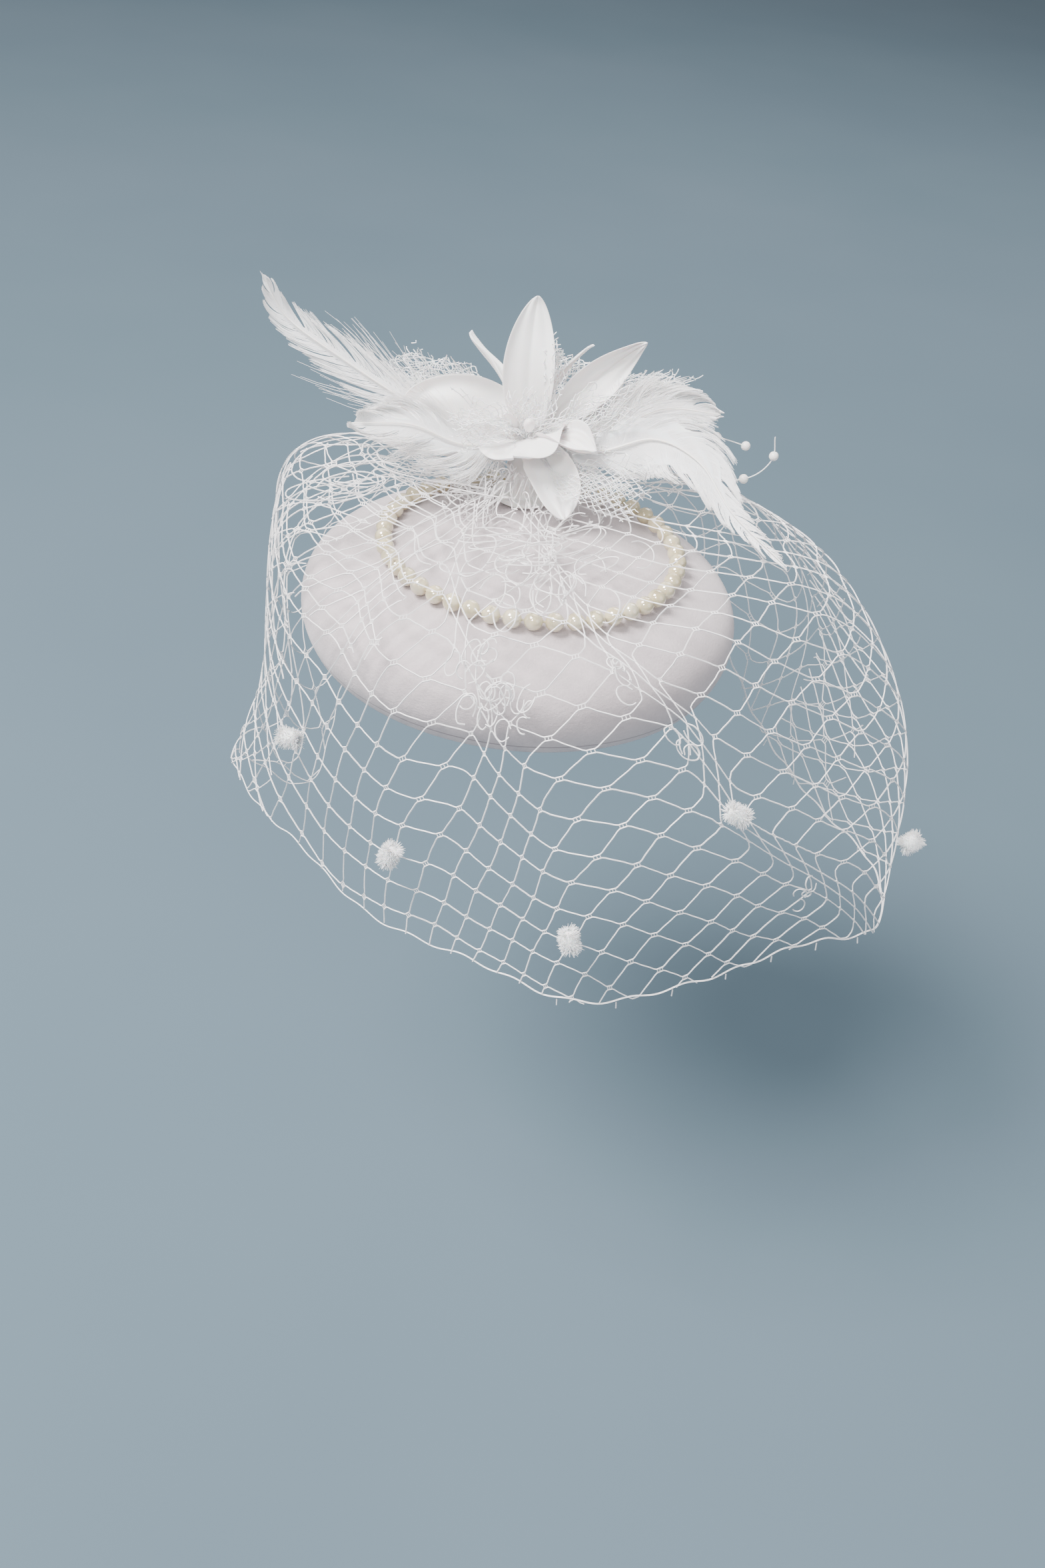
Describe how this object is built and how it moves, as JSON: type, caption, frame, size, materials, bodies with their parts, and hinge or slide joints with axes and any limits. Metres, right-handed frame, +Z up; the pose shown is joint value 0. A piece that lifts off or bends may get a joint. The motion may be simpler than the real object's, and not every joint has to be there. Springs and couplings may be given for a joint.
{
  "type": "pillbox hat",
  "caption": "Round felt pillbox hat with a ring of pearls on top, a wide spotted net veil down over the face and a spray of petals, feathers and beads near the back.",
  "frame": {"origin": "centre of the round rim, in the rim's plane, where the hat sits on the head", "axes": "+Z up through the middle of the crown, -Y towards the front of the hat, +X to the right as seen from the front"},
  "size_m": [0.2855, 0.2168, 0.2231],
  "materials": {
    "felt": "pale grey wool felt",
    "pearl": "ivory pearl gloss",
    "net": "white stiff net",
    "chenille": "white fluffy chenille",
    "base_felt": "off-white felt",
    "petal_satin": "white stiffened petal cloth",
    "feather": "white feather",
    "tuft_net": "crinkled shiny white net",
    "seed_pearl": "white bead on clear wire"
  },
  "bodies": {
    "root": {"crown": "felt", "pearl_ring": "pearl", "veil": "net", "chenille_dot_1": "chenille", "chenille_dot_2": "chenille", "chenille_dot_3": "chenille", "chenille_dot_4": "chenille", "chenille_dot_5": "chenille", "spray_base": "base_felt", "petal_upright": "petal_satin", "petal_right": "petal_satin", "petal_edge": "petal_satin", "petal_spike": "petal_satin", "petal_left": "petal_satin", "petal_front": "petal_satin", "petal_curled": "petal_satin", "petal_hanging": "petal_satin", "feather_hackle": "feather", "feather_left": "feather", "feather_sweep": "feather", "feather_right": "feather", "tuft_left": "tuft_net", "tuft_top": "tuft_net", "tuft_right": "tuft_net", "tuft_front": "tuft_net", "bead_spray_upper": "seed_pearl", "bead_spray_lower": "seed_pearl", "stamen_left": "petal_satin", "stamen_right": "petal_satin"}
  },
  "joints": []
}
